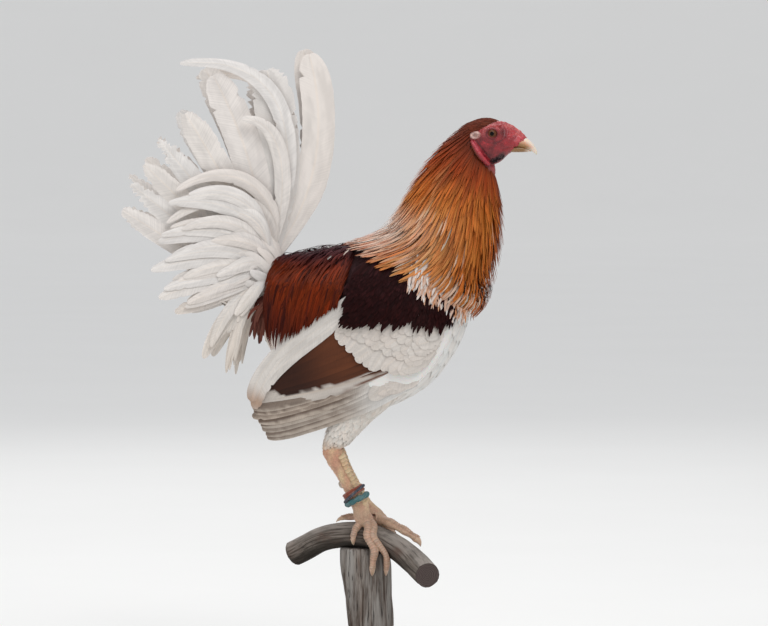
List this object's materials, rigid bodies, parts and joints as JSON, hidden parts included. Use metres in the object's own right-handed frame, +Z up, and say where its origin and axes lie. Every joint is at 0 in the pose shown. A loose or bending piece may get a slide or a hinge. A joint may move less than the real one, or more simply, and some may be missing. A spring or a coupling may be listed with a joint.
{
  "type": "red pyle gamecock display model",
  "caption": "Life-size still model of a standing red pyle gamecock that grips a bowed limb on a short post, held by a flat base and rods.",
  "frame": {"origin": "centre of the underside of the stand's base", "axes": "+X the way the bird faces, +Y its left side, +Z up"},
  "size_m": [0.4598, 0.19, 0.668],
  "materials": {
    "face_skin": "bare, finely creased crimson skin",
    "horn": "smooth pale horn",
    "eye_amber": "wet, glossy eye",
    "red_plumage": "glossy rust-red and golden hackle feathers",
    "white_plumage": "soft white and cream feathers",
    "leg_scale": "pink and yellow scaled leg skin",
    "teal_band": "matte teal band",
    "navy_band": "dark blue twisted cord",
    "cord_band": "twisted red-orange cord",
    "perch_wood": "weathered grey-brown bare wood",
    "stand_wood": "dark stained, satin board",
    "stand_steel": "brushed rod"
  },
  "bodies": {
    "root": {"band_cord": "cord_band", "band_navy": "navy_band", "band_teal": "teal_band", "beak_lower": "horn", "beak_upper": "horn", "claw_hallux_left": "horn", "claw_hallux_right": "horn", "claw_inner_left": "horn", "claw_inner_right": "horn", "claw_middle_left": "horn", "claw_middle_right": "horn", "claw_outer_left": "horn", "claw_outer_right": "horn", "eye_left": "eye_amber", "eye_right": "eye_amber", "foot_left": "leg_scale", "foot_right": "leg_scale", "head": "face_skin", "neck": "red_plumage", "perch_limb": "perch_wood", "perch_post": "perch_wood", "shank_left": "leg_scale", "shank_right": "leg_scale", "spur_left": "horn", "spur_right": "horn", "stand_base": "stand_wood", "stand_rod_left": "stand_steel", "stand_rod_right": "stand_steel", "tail": "white_plumage", "thigh_left": "white_plumage", "thigh_right": "white_plumage", "torso": "white_plumage", "wing_left": "white_plumage", "wing_right": "white_plumage"}
  },
  "joints": []
}
